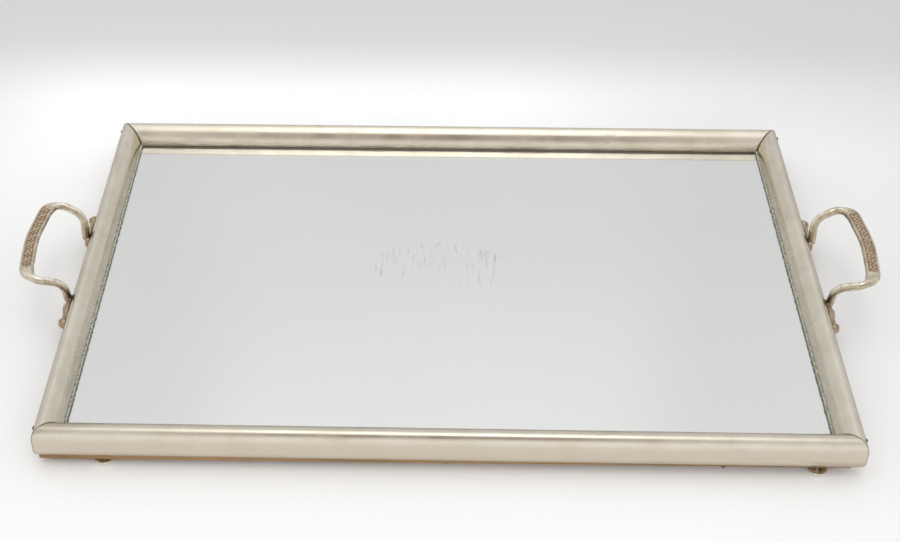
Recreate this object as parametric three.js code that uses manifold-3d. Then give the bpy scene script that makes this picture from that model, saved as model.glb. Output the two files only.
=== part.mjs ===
// Dresser vanity tray: a mirror in a plated sheet-metal frame with two rigid cast handles.
// Millimetres, +X along the tray, +Y to the back, +Z up. The origin is the middle of the
// surface that the tray stands on.
import * as THREE from 'three';
import { mergeVertices } from 'three/addons/utils/BufferGeometryUtils.js';
import Module from 'manifold-3d';

const wasm = await Module();
wasm.setup();

// ---- Driving dimensions ----
const FRAME_LENGTH = 450;      // outside of the frame along X
const FRAME_DEPTH = 300;       // outside of the frame along Y
const GAP = 0.3;               // clearance between pieces that touch
const SHEET = 0.8;             // plated sheet that the rails are rolled from

const RAIL_WIDTH = 14.4;       // plan width of a rail
const RAIL_DROP = 8.3;         // lower edge of a rail, below the top of the glass
const CREST_INSET = 4.8;       // from the outer face in to the highest line of the rail
const CREST_HEIGHT = 10.7;     // above the top of the glass
const SHOULDER_HEIGHT = 2.5;   // where the outer face starts to turn in, above the glass
const LIP_REACH = 2.2;         // how far the lower edge turns in, and over what height
const LIP_RISE = 4.8;
const FLANGE_REACH = 3.6;      // the sheet turned in under the wood
const WALL_HEIGHT = 0.8;       // straight part of the inner edge, above the sight edge
const ARC_DIVISIONS = 5;       // each arc of the section gets twice as many points

const GLIDE_HEIGHT = 2.9;
const GLIDE_RADIUS = 5.4;
const BOARD_THICKNESS = 3.6;
const BOARD_INSET = 2;         // board edge behind the outer face of the rails
const GLASS_THICKNESS = 3;
const GLASS_INSET = 7.5;       // glass edge behind the outer face of the rails
const CARD_INSET = 8;

// ---- Levels, from the glides up ----
const boardBottom = GLIDE_HEIGHT + GAP;
const boardTop = boardBottom + BOARD_THICKNESS;
const frameBottom = boardTop + GAP;
const glassTop = frameBottom + RAIL_DROP;
const glassBottom = glassTop - GLASS_THICKNESS;
const sightEdge = glassTop + GAP;
const shoulder = glassTop + SHOULDER_HEIGHT;
const crest = glassTop + CREST_HEIGHT;

const halfLength = FRAME_LENGTH / 2;
const halfDepth = FRAME_DEPTH / 2;

// ---- Fasteners ----
const BRAD = { shank: 0.6, length: 8.5, head: 1.5, headHeight: 0.6, facets: 8, domeSteps: 1 };
const BRAD_INSET = 5;
const CORNER_NAIL = { shank: 0.6, length: 13.5, head: 1.4, headHeight: 0.6, facets: 12, domeSteps: 1 };
const CORNER_NAIL_INSET = 7.8;
const CORNER_NAIL_LEVEL = glassTop + 6;
const GLIDE_PIN = { shank: 0.7, length: 9 };
const GLIDE_INSET = 5;
const GLIDE_FLAT = 2.2;        // radius of the worn flat under each glide
const GLIDE_RIM = 0.4;         // straight edge at the top of each glide
const SCREW = { shank: 1, length: 10, head: 2.5, headHeight: 1.5, facets: 12, domeSteps: 2 };

// ---- Handles ----
const ROD_RADIUS = 2.4;
const GRIP_HALF_WIDTH = 4.2;
const GRIP_HALF_THICKNESS = 2.1;
const GRIP_SQUARENESS = 0.62;  // 1 is an ellipse, less is nearer to a rectangle
const FOOT_SPREAD = 29.3;      // from the middle of the handle to each leg
const HANDLE_SHIFT = { left: -0.5, right: 4.2 };  // each handle's middle, along Y
const PLATE_THICKNESS = 3.6;
const PLATE_TIP = 49.3;        // centre of the rounded tip of a foot plate, and its screw
const PLATE_TIP_RADIUS = 3.4;
const PLATE_HALF_HEIGHT = 4.3;
const LEAF_BOSS = { along: 37, radius: 3.2, relief: 1.4 };
const plateLevel = glassTop;

// ---- Materials: colour, roughness and metalness ----
const FINISH = {
  plating: { color: 0xcfc6b4, roughness: 0.32, metalness: 1 },
  bronze: { color: 0xa08c6e, roughness: 0.38, metalness: 1 },
  steel: { color: 0xb9b2a4, roughness: 0.4, metalness: 1 },
  wood: { color: 0xa67e53, roughness: 0.8, metalness: 0 },
  card: { color: 0x9c8a6a, roughness: 0.95, metalness: 0 },
  mirror: { color: 0xd8dbd9, roughness: 0.03, metalness: 1 },
};

const group = new THREE.Group();

function place(name, geometry, finish) {
  const mesh = new THREE.Mesh(geometry, new THREE.MeshStandardMaterial(finish));
  mesh.name = name;
  group.add(mesh);
  return mesh;
}

// ---- Joining and cutting ----
function solid(geometry) {
  const bare = geometry.clone();
  bare.deleteAttribute('normal');
  bare.deleteAttribute('uv');
  const merged = mergeVertices(bare, 1e-4);
  return new wasm.Manifold(new wasm.Mesh({
    numProp: 3,
    vertProperties: Float32Array.from(merged.attributes.position.array),
    triVerts: Uint32Array.from(merged.index.array),
  }));
}

function toGeometry(manifold) {
  const mesh = manifold.getMesh();
  const geometry = new THREE.BufferGeometry();
  geometry.setAttribute('position', new THREE.BufferAttribute(mesh.vertProperties, 3));
  geometry.setIndex(new THREE.BufferAttribute(mesh.triVerts, 1));
  geometry.computeVertexNormals();
  return geometry;
}

function cut(geometry, tools) {
  let body = solid(geometry);
  for (const tool of tools) {
    body = body.subtract(solid(tool));
  }
  return toGeometry(body);
}

function join(geometries) {
  return toGeometry(geometries.map(solid).reduce((body, next) => body.add(next)));
}

// ---- Rail and core sections ----
// A section is drawn with x running in from the outer face and y up.
function skinLine(depth) {
  const line = new THREE.Path();
  const lipTop = frameBottom + LIP_RISE;
  line.moveTo(FLANGE_REACH, frameBottom + depth);
  line.absellipse(LIP_REACH, lipTop, LIP_REACH - depth, LIP_RISE - depth, 1.5 * Math.PI, Math.PI, true);
  const outerReach = CREST_INSET - depth;
  const outerRise = crest - shoulder - depth;
  line.absellipse(CREST_INSET, shoulder, outerReach, outerRise, Math.PI, Math.PI / 2, true);
  const innerReach = RAIL_WIDTH - CREST_INSET - depth;
  const innerFoot = sightEdge + WALL_HEIGHT;
  const innerRise = crest - innerFoot - depth;
  line.absellipse(CREST_INSET, innerFoot, innerReach, innerRise, Math.PI / 2, 0, true);
  line.lineTo(RAIL_WIDTH - depth, sightEdge);
  return line.getPoints(ARC_DIVISIONS);
}

function railSection() {
  return new THREE.Shape([...skinLine(0), ...skinLine(SHEET).reverse()]);
}

function coreSection() {
  const clearance = SHEET + GAP;
  const rabbet = GLASS_INSET - GAP;
  return new THREE.Shape([
    ...skinLine(clearance),
    new THREE.Vector2(rabbet, sightEdge),
    new THREE.Vector2(rabbet, frameBottom + clearance),
  ]);
}

// Sweeps a section along one side of the frame and mitres both ends at 45 degrees.
// The result lies along the front (-Y) edge, turned to its own side about Z.
function mitredBar(section, sideLength, offset, turn) {
  const bar = new THREE.ExtrudeGeometry(section, { depth: 1, bevelEnabled: false });
  const position = bar.attributes.position;
  for (let i = 0; i < position.count; i += 1) {
    const inset = position.getX(i);
    const level = position.getY(i);
    const end = position.getZ(i) * 2 - 1;
    position.setXYZ(i, end * (sideLength / 2 - inset - GAP / 2), inset - offset, level);
  }
  return bar.rotateZ(turn);
}

const SIDES = [
  { name: 'front', length: FRAME_LENGTH, offset: halfDepth, turn: 0 },
  { name: 'right', length: FRAME_DEPTH, offset: halfLength, turn: Math.PI / 2 },
  { name: 'back', length: FRAME_LENGTH, offset: halfDepth, turn: Math.PI },
  { name: 'left', length: FRAME_DEPTH, offset: halfLength, turn: -Math.PI / 2 },
];

// ---- Fastener shapes: the head's seat is at the origin and the shank runs along +Y ----
function roundHead(fastener) {
  const dome = new THREE.Path();
  dome.absellipse(0, 0, fastener.head, fastener.headHeight, 0, -Math.PI / 2, true);
  const profile = [
    new THREE.Vector2(0, -fastener.headHeight),
    ...dome.getPoints(fastener.domeSteps).slice(1, -1).reverse(),
    new THREE.Vector2(fastener.head, 0),
    new THREE.Vector2(fastener.shank, 0),
    new THREE.Vector2(fastener.shank, fastener.length),
    new THREE.Vector2(0, fastener.length),
  ];
  return new THREE.LatheGeometry(profile, fastener.facets);
}

function glide() {
  const domeHeight = GLIDE_HEIGHT - GLIDE_RIM;
  const pinTop = GLIDE_HEIGHT + GLIDE_PIN.length;
  const dome = new THREE.Path();
  dome.absellipse(GLIDE_FLAT, domeHeight, GLIDE_RADIUS - GLIDE_FLAT, domeHeight, -Math.PI / 2, 0);
  const profile = [
    new THREE.Vector2(0, 0),
    ...dome.getPoints(2),
    new THREE.Vector2(GLIDE_RADIUS, GLIDE_HEIGHT),
    new THREE.Vector2(GLIDE_PIN.shank, GLIDE_HEIGHT),
    new THREE.Vector2(GLIDE_PIN.shank, pinTop),
    new THREE.Vector2(0, pinTop),
  ];
  return new THREE.LatheGeometry(profile, 16).rotateX(Math.PI / 2);
}

// A hole that clears a shank by GAP all round, in the same position as the shank.
function bore(fastener) {
  const radius = fastener.shank + GAP;
  const depth = fastener.length + GAP;
  return new THREE.CylinderGeometry(radius, radius, depth, 8).translate(0, depth / 2, 0);
}

// Turns a fastener shape so that its shank points up, or in along X towards the tray.
const upwards = (geometry) => geometry.rotateX(Math.PI / 2);
const inwards = (geometry, side) => geometry.rotateZ(side * Math.PI / 2);

// ---- Where the fasteners go ----
const bradSeat = boardBottom - GAP;
const brads = [];
for (const edge of [-1, 1]) {
  for (const along of [-150, 0, 150]) {
    brads.push([along, edge * (halfDepth - BRAD_INSET)]);
  }
  for (const along of [-75, 75]) {
    brads.push([edge * (halfLength - BRAD_INSET), along]);
  }
}

const glides = [
  ['front_left_glide', -(halfLength - 37), -(halfDepth - GLIDE_INSET)],
  ['front_right_glide', halfLength - 24, -(halfDepth - GLIDE_INSET)],
  ['back_left_glide', -(halfLength - 30), halfDepth - GLIDE_INSET],
  ['back_right_glide', halfLength - 30, halfDepth - GLIDE_INSET],
];

const cornerNails = [];
const screws = [];
for (const [sideName, side] of [['left', -1], ['right', 1]]) {
  for (const [endName, end] of [['front', -1], ['back', 1]]) {
    cornerNails.push({
      name: `${endName}_${sideName}_corner_nail`,
      side,
      at: [side * halfLength, end * (halfDepth - CORNER_NAIL_INSET), CORNER_NAIL_LEVEL],
    });
    screws.push({
      name: `${sideName}_handle_${endName}_screw`,
      side,
      at: [
        side * (halfLength + 2 * GAP + PLATE_THICKNESS),
        HANDLE_SHIFT[sideName] + end * PLATE_TIP,
        plateLevel,
      ],
    });
  }
}

const boreTools = [
  ...brads.map(([x, y]) => upwards(bore(BRAD)).translate(x, y, bradSeat)),
  ...glides.map(([, x, y]) => upwards(bore(GLIDE_PIN)).translate(x, y, GLIDE_HEIGHT)),
  ...cornerNails.map((nail) => inwards(bore(CORNER_NAIL), nail.side).translate(...nail.at)),
  ...screws.map((screw) => inwards(bore(SCREW), screw.side).translate(...screw.at)),
];

// ---- Frame: four plated rails over four wood cores ----
for (const side of SIDES) {
  const rail = mitredBar(railSection(), side.length, side.offset, side.turn);
  place(`${side.name}_rail`, cut(rail, boreTools), FINISH.plating);
  const core = mitredBar(coreSection(), side.length, side.offset, side.turn);
  place(`${side.name}_core`, cut(core, boreTools), FINISH.wood);
}

// ---- Mirror, packing card and backing board ----
function panel(inset, bottom, top) {
  const sheet = new THREE.BoxGeometry(FRAME_LENGTH - 2 * inset, FRAME_DEPTH - 2 * inset, top - bottom);
  return sheet.translate(0, 0, (bottom + top) / 2);
}
place('mirror_glass', panel(GLASS_INSET, glassBottom, glassTop), FINISH.mirror);
place('packing_card', panel(CARD_INSET, boardTop + GAP, glassBottom - GAP), FINISH.card);
place('backing_board', cut(panel(BOARD_INSET, boardBottom, boardTop), boreTools), FINISH.wood);

// ---- Handles ----
// The centre line of one half, from the foot of a leg to the middle of the grip:
// [out from the frame's side, along Y, above the glass].
const HALF_ROUTE = [
  [3.2, FOOT_SPREAD, 2],
  [3.4, FOOT_SPREAD + 1.2, 8],
  [3.8, FOOT_SPREAD + 3, 13.3],
  [6.6, FOOT_SPREAD + 4.6, 17.9],
  [11.8, FOOT_SPREAD + 6.1, 20.5],
  [16.9, FOOT_SPREAD + 6.9, 22.1],
  [21.5, FOOT_SPREAD + 5.1, 23],
  [24.6, FOOT_SPREAD + 0.9, 23.6],
  [26.5, FOOT_SPREAD - 12.9, 24.1],
  [27.6, 0, 24.3],
];

function handleCurve() {
  const half = HALF_ROUTE.map(([out, along, up]) => (
    new THREE.Vector3(halfLength + out, along, glassTop + up)));
  const other = half.slice(0, -1).reverse().map(({ x, y, z }) => new THREE.Vector3(x, -y, z));
  return new THREE.CatmullRomCurve3([...half, ...other], false, 'centripetal');
}

// The round rod widens into a flat band over the grip.
function sectionAt(point) {
  const blend = THREE.MathUtils.smoothstep(point.x, halfLength + 19.5, halfLength + 25.2);
  return {
    halfWidth: THREE.MathUtils.lerp(ROD_RADIUS, GRIP_HALF_WIDTH, blend),
    halfThickness: THREE.MathUtils.lerp(ROD_RADIUS, GRIP_HALF_THICKNESS, blend),
    power: THREE.MathUtils.lerp(1, GRIP_SQUARENESS, blend),
  };
}

// Moves a coordinate of a unit circle out towards a rounded square.
const squared = (value, power) => Math.sign(value) * Math.abs(value) ** power;

// Bends an upright unit cylinder along the curve, with the section of each station.
function castRod(curve, stations, facets) {
  const rod = new THREE.CylinderGeometry(1, 1, 1, facets, stations);
  const position = rod.attributes.position;
  const vertex = new THREE.Vector3();
  for (let i = 0; i < position.count; i += 1) {
    vertex.fromBufferAttribute(position, i);
    const along = THREE.MathUtils.clamp(vertex.y + 0.5, 0, 1);
    const centre = curve.getPointAt(along);
    const tangent = curve.getTangentAt(along);
    // On the upright legs the section's top faces the tray, and on the arms it faces up.
    const level = Math.sqrt(Math.max(0, 1 - tangent.z ** 2));
    const up = new THREE.Vector3(-Math.abs(tangent.z), 0, level);
    up.addScaledVector(tangent, -up.dot(tangent)).normalize();
    const across = new THREE.Vector3().crossVectors(tangent, up);
    const section = sectionAt(centre);
    const wide = squared(vertex.x, section.power) * section.halfWidth;
    const thick = squared(vertex.z, section.power) * section.halfThickness;
    centre.addScaledVector(across, wide).addScaledVector(up, thick);
    position.setXYZ(i, centre.x, centre.y, centre.z);
  }
  return rod;
}

// A leaf-shaped foot plate, drawn in Y and Z, lying against the outer face of the rail.
function footPlate(end) {
  const leaf = new THREE.Shape();
  const root = FOOT_SPREAD - 3;
  leaf.moveTo(root, -3);
  leaf.quadraticCurveTo(LEAF_BOSS.along - 2, -PLATE_HALF_HEIGHT - 0.6, LEAF_BOSS.along + 4, -2.9);
  leaf.lineTo(PLATE_TIP - 3, -2.6);
  leaf.absarc(PLATE_TIP, 0, PLATE_TIP_RADIUS, -2.4, 2.4, false);
  leaf.lineTo(LEAF_BOSS.along + 4, 2.9);
  leaf.quadraticCurveTo(LEAF_BOSS.along - 2, PLATE_HALF_HEIGHT + 0.6, root, 3);
  leaf.closePath();
  const depth = PLATE_THICKNESS;
  const plate = new THREE.ExtrudeGeometry(leaf, { depth, bevelEnabled: false, curveSegments: 5 });
  // Shape x, y and depth become along, up and out, and the front plate is the back one turned.
  plate.rotateX(Math.PI / 2).rotateZ(Math.PI / 2).translate(-depth / 2, 0, 0);
  if (end < 0) {
    plate.rotateZ(Math.PI);
  }
  return plate.translate(halfLength + GAP + depth / 2, 0, plateLevel);
}

function leafBoss(end) {
  const boss = new THREE.SphereGeometry(1, 10, 6);
  boss.scale(LEAF_BOSS.relief, LEAF_BOSS.radius * 1.25, LEAF_BOSS.radius);
  return boss.translate(halfLength + GAP + PLATE_THICKNESS, end * LEAF_BOSS.along, plateLevel);
}

function handle() {
  const pieces = [castRod(handleCurve(), 50, 12)];
  for (const end of [-1, 1]) {
    pieces.push(footPlate(end), leafBoss(end));
  }
  const seat = halfLength + 2 * GAP + PLATE_THICKNESS;
  const holes = [-PLATE_TIP, PLATE_TIP].map((along) => (
    inwards(bore(SCREW), 1).translate(seat, along, plateLevel)));
  return cut(join(pieces), holes);
}
place('right_handle', handle(), FINISH.bronze).position.y = HANDLE_SHIFT.right;
const leftHandle = place('left_handle', handle(), FINISH.bronze);
leftHandle.rotation.z = Math.PI;
leftHandle.position.y = HANDLE_SHIFT.left;

// ---- Fasteners and glides ----
for (const { name, side, at } of screws) {
  place(name, inwards(roundHead(SCREW), side), FINISH.bronze).position.set(...at);
}
for (const { name, side, at } of cornerNails) {
  place(name, inwards(roundHead(CORNER_NAIL), side), FINISH.steel).position.set(...at);
}
for (const [name, x, y] of glides) {
  place(name, glide(), FINISH.steel).position.set(x, y, 0);
}
brads.forEach(([x, y], index) => {
  const name = `board_brad_${index + 1}`;
  place(name, upwards(roundHead(BRAD)), FINISH.steel).position.set(x, y, bradSeat);
});

export default group;
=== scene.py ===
"""Looks of a dresser vanity tray: a mirror in an aged, nickel-plated frame with two cast handles."""
import math

import bmesh
import bpy
import numpy as np
from mathutils import Matrix, Vector


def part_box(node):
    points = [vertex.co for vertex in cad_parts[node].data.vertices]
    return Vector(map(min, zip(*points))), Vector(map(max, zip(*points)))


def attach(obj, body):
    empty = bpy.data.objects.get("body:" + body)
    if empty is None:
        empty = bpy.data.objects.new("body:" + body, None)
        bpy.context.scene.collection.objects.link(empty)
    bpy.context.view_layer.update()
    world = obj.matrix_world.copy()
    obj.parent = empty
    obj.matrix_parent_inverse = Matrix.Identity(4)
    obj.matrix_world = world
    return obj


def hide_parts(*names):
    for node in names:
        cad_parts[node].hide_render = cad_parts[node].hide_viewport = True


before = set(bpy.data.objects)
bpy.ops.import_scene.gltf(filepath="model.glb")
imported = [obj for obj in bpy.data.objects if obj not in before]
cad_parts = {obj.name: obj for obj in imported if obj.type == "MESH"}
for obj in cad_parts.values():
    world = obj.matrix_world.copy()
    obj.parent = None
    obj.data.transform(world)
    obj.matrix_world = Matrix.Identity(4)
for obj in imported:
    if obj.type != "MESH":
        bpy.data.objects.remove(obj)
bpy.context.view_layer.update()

MM = 0.001
random = np.random.default_rng(7)

# ---- Camera: a 60 mm lens standing above the front edge, looking down at the tray ----
glass_low, glass_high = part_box("mirror_glass")
CAMERA_PLACE = Vector((-8.9 * MM, -710.0 * MM, glass_high.z + 589.5 * MM))
CAMERA_DOWN = 39.58      # degrees below level
CAMERA_TURN = 1.64       # degrees to the left of +Y
CAMERA_ROLL = -0.31      # degrees
LENS = 60.0
SENSOR_WIDTH = 36.0
FRAME_SHIFT = 0.0556     # the picture is cut off-centre
NEAREST = 0.01           # metres
FARTHEST = 100.0         # metres


def make_camera():
    data = bpy.data.cameras.new("camera")
    data.lens = LENS
    data.sensor_width = SENSOR_WIDTH
    data.shift_x = FRAME_SHIFT
    data.clip_start = NEAREST
    data.clip_end = FARTHEST
    camera = bpy.data.objects.new("camera", data)
    bpy.context.scene.collection.objects.link(camera)
    turn = Matrix.Rotation(math.radians(CAMERA_TURN), 4, "Z")
    tilt = Matrix.Rotation(math.radians(90.0 - CAMERA_DOWN), 4, "X")
    roll = Matrix.Rotation(math.radians(CAMERA_ROLL), 4, "Z")
    camera.matrix_world = Matrix.Translation(CAMERA_PLACE) @ turn @ tilt @ roll
    bpy.context.scene.camera = camera


make_camera()

# ---- Dimensions of the frame, in millimetres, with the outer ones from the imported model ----
rail_low, rail_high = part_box("right_rail")
HALF_LENGTH = rail_high.x / MM
HALF_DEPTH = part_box("back_rail")[1].y / MM
RAIL_WIDTH = (rail_high.x - rail_low.x) / MM
RAIL_BOTTOM = rail_low.z / MM
CREST = rail_high.z / MM
GLASS_TOP = glass_high.z / MM
GLASS_BOTTOM = glass_low.z / MM
SIGHT_EDGE = GLASS_TOP + 0.3
SHEET = 0.8
SEAM = 0.3               # between two mitred rail ends
CREST_INSET = 4.8
SHOULDER = GLASS_TOP + 2.5
LIP_REACH = 2.2
LIP_RISE = 4.8
FLANGE_REACH = 3.6
FLANGE_WIDTH = 0.7
INNER_REACH = 10.1       # of the ellipse that the slope down to the glass belongs to
SLOPE_END = math.acos((RAIL_WIDTH - CREST_INSET) / INNER_REACH)
INNER_RISE = (CREST - SIGHT_EDGE) / (1 - math.sin(SLOPE_END))
DENT = 0.14              # the deepest unevenness of the sheet
ROLLED_EDGE = 0.22       # how far the cut ends of a rail turn in
ROLLED_LENGTH = 0.6      # of rail that the turned-in edge takes up
SEAM_DIRT = 0.7          # how far dirt reaches from a mitre
GRIND = 0.4              # of the glass's edges
GLASS_CORNER = 1.5
GLIDE_HEIGHT = 2.9


# ---- Shader graphs ----
class Graph:
    """A node tree under construction: each method adds a node and returns its output socket."""

    def __init__(self, tree):
        self.tree = tree

    def add(self, kind, inputs=(), **settings):
        node = self.tree.nodes.new(kind)
        for key, value in settings.items():
            setattr(node, key, value)
        for key, value in dict(inputs).items():
            self.put(node.inputs[key], value)
        return node

    def put(self, socket, value):
        if isinstance(value, bpy.types.NodeSocket):
            self.tree.links.new(value, socket)
        elif isinstance(value, tuple) and len(value) == 3 and len(socket.default_value) == 4:
            socket.default_value = (*value, 1.0)
        else:
            socket.default_value = value

    def split(self, vector):
        return self.add("ShaderNodeSeparateXYZ", {"Vector": vector}).outputs

    def ramp(self, factor, *stops):
        node = self.add("ShaderNodeValToRGB", {"Fac": factor})
        points = node.color_ramp.elements
        while len(points) < len(stops):
            points.new(0.5)
        for point, (position, colour) in zip(points, stops):
            point.position = position
            point.color = (*colour, 1.0)
        return node.outputs["Color"]

    def range(self, value, low, high, out_low=0.0, out_high=1.0):
        ends = {"From Min": low, "From Max": high, "To Min": out_low, "To Max": out_high}
        node = self.add("ShaderNodeMapRange", {"Value": value, **ends}, clamp=True,
                        interpolation_type="SMOOTHSTEP")
        return node.outputs["Result"]

    def calculate(self, operation, first, second=0.0):
        node = self.add("ShaderNodeMath", {0: first, 1: second}, operation=operation)
        return node.outputs["Value"]

    def times(self, first, second):
        return self.calculate("MULTIPLY", first, second)

    def plus(self, first, second):
        return self.calculate("ADD", first, second)

    def mix(self, factor, first, second):
        """Mixes two colours, which are the node's inputs 6 and 7 and its output 2."""
        node = self.add("ShaderNodeMix", {"Factor": factor}, data_type="RGBA")
        self.put(node.inputs[6], first)
        self.put(node.inputs[7], second)
        return node.outputs[2]


class Look(Graph):
    """A material under construction."""

    def __init__(self, name, metallic=0.0):
        self.material = bpy.data.materials.new(name)
        self.material.use_nodes = True
        super().__init__(self.material.node_tree)
        self.shader = self.tree.nodes["Principled BSDF"]
        self.shader.inputs["Metallic"].default_value = metallic
        self.place = self.add("ShaderNodeTexCoord").outputs["Object"]

    def set(self, name, value):
        self.put(self.shader.inputs[name], value)

    def uv(self):
        return self.add("ShaderNodeUVMap", uv_map="UVMap").outputs["UV"]

    def attribute(self, name):
        return self.add("ShaderNodeAttribute", attribute_name=name).outputs["Fac"]

    def pointiness(self):
        return self.add("ShaderNodeNewGeometry").outputs["Pointiness"]

    def stretch(self, vector, scale, turn=0.0):
        inputs = {"Vector": vector, "Scale": scale, "Rotation": (0.0, 0.0, turn)}
        return self.add("ShaderNodeMapping", inputs).outputs["Vector"]

    def noise(self, vector, scale, detail=3.0, roughness=0.5, distortion=0.0):
        inputs = {"Vector": vector, "Scale": scale, "Detail": detail, "Roughness": roughness,
                  "Distortion": distortion}
        return self.add("ShaderNodeTexNoise", inputs).outputs["Fac"]

    def cells(self, vector, scale):
        inputs = {"Vector": vector, "Scale": scale}
        return self.add("ShaderNodeTexVoronoi", inputs).outputs["Distance"]

    def swing(self, noise, reach):
        """Turns a noise from 0 to 1 into one that swings evenly about zero."""
        return self.times(self.plus(noise, -0.5), reach)

    def tinted(self, colour, mask, amount, tint):
        """The colour, with an amount of the tint over it where the mask is 1."""
        return self.mix(self.times(mask, amount), colour, tint)

    def bump(self, height, strength, distance):
        inputs = {"Strength": strength, "Distance": distance, "Height": height}
        self.set("Normal", self.add("ShaderNodeBump", inputs).outputs["Normal"])


def darker(colour, share):
    return tuple(share * value for value in colour)


# ---- Aged nickel plate on the rails ----
# Where the front rail's upright face, darkened by a painted shade, begins and is fully reached, along
# Y and Z in metres.
FRONT_FACE_SHADE_DEPTH = (-0.140, -0.145)
FRONT_FACE_SHADE_LEVEL = (0.024, 0.019)


# The UV map holds metres along a rail, and 0 to 1 across it from the flange to the sight edge.
def plating_look():
    look = Look("aged_nickel", metallic=1.0)
    look.set("Specular Tint", (0.70, 0.67, 0.65))
    along_across = look.uv()
    across = look.split(along_across)[1]
    cloud = look.noise(look.place, 9.0, 4.0, 0.6)
    mottle = look.noise(look.place, 55.0, 5.0, 0.65)
    colour = look.ramp(cloud, (0.3, (0.70, 0.645, 0.535)), (0.7, (0.80, 0.755, 0.65)))
    tarnish = look.ramp(mottle, (0.3, (0.63, 0.58, 0.47)),
                       (0.55, (0.78, 0.73, 0.63)), (0.8, (0.85, 0.81, 0.71)))
    colour = look.mix(0.5, colour, tarnish)

    # Painted light: the lower outer face is lightened, standing in for a brighter reflection of the
    # floor in front. Worn towards the brass at the lip. Darker at the glass: painted shade of the
    # contact line, with some grime.
    uneven = look.plus(across, look.swing(look.noise(look.place, 70.0, 4.0), 0.10))
    painted_low_face_light = look.range(uneven, 0.30, 0.14)
    colour = look.tinted(colour, painted_low_face_light, 0.25, (0.88, 0.82, 0.70))
    lip = look.range(uneven, 0.13, 0.04)
    colour = look.tinted(colour, lip, 0.8, (0.93, 0.76, 0.50))
    # Painted shade, with some grime: darker along the sight edge, where the rail meets the glass.
    grime_and_painted_shade = look.range(uneven, 0.975, 1.0)
    colour = look.tinted(colour, grime_and_painted_shade, 0.5, (0.45, 0.38, 0.28))

    # Painted shade: the front rail's upright face is darkened and yellowed, standing in for its
    # reflection of the shadowed floor in front.
    _, depth, level = look.split(look.place)
    facing = look.times(look.range(depth, *FRONT_FACE_SHADE_DEPTH), look.range(level, *FRONT_FACE_SHADE_LEVEL))
    colour = look.tinted(colour, facing, 0.6, (0.60, 0.52, 0.415))

    # Painted reflection: the outer shoulders of the two rails that carry the handles are darkened,
    # standing in for the shadowed floor beside them that they mirror.
    painted_shoulder_reflection = look.attribute("painted_shoulder_reflection")
    colour = look.tinted(colour, painted_shoulder_reflection, 0.85, (0.30, 0.275, 0.26))
    seam = look.attribute("seam")
    colour = look.tinted(colour, seam, 0.8, (0.15, 0.12, 0.08))

    # Stains: soft brown-grey clouds, and a few sharper spots.
    smear = look.noise(look.stretch(along_across, (14.0, 2.2, 1.0)), 1.0, 4.0, 0.6, 0.4)
    smear = look.range(smear, 0.56, 0.74)
    colour = look.tinted(colour, smear, 0.45, (0.42, 0.36, 0.29))
    blot = look.noise(look.place, 120.0, 6.0, 0.7, 0.8)
    blot = look.range(blot, 0.64, 0.70)
    sparse = look.range(look.noise(look.place, 16.0, 2.0), 0.52, 0.62)
    blot = look.times(blot, sparse)
    colour = look.tinted(colour, blot, 0.6, (0.36, 0.30, 0.22))

    # Pits, scratches along the rail and a few short ones across it.
    pit = look.range(look.cells(look.place, 420.0), 0.16, 0.05)
    pit = look.times(pit, look.range(look.noise(look.place, 60.0, 3.0), 0.60, 0.68))
    colour = look.tinted(colour, pit, 0.7, (0.20, 0.16, 0.11))
    drawn = look.noise(look.stretch(along_across, (26.0, 90.0, 1.0)), 1.0, 6.0, 0.75)
    hairline = look.noise(look.stretch(along_across, (900.0, 3.0, 1.0), 0.1), 1.0, 3.0, 0.6)
    hairline = look.times(look.range(hairline, 0.70, 0.76), sparse)
    colour = look.tinted(colour, hairline, 0.35, (0.34, 0.29, 0.23))
    look.set("Base Color", colour)

    rough = look.range(look.noise(look.place, 30.0, 4.0, 0.6), 0.3, 0.7, 0.17, 0.30)
    rough = look.plus(rough, look.swing(drawn, 0.10))
    rough = look.plus(rough, look.times(smear, 0.08))
    rough = look.plus(rough, look.times(blot, 0.2))
    rough = look.plus(rough, look.times(grime_and_painted_shade, 0.25))
    look.set("Roughness", rough)

    height = look.plus(look.times(drawn, 0.35), look.times(mottle, 0.25))
    height = look.plus(height, look.times(pit, -1.0))
    height = look.plus(height, look.times(hairline, -0.4))
    look.bump(height, 0.16, 0.00012)
    return look.material


# ---- Mirror: clear glass over silvering that is worn in places ----
# Where the painted reflection along the side rails and the painted shade along the end rails begin and
# are full, as a gap to the rails' edges in metres.
SIDE_REFLECTION_GAP = (-0.0014, -0.0006)
END_SHADE_GAP = (-0.0008, -0.0002)


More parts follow.
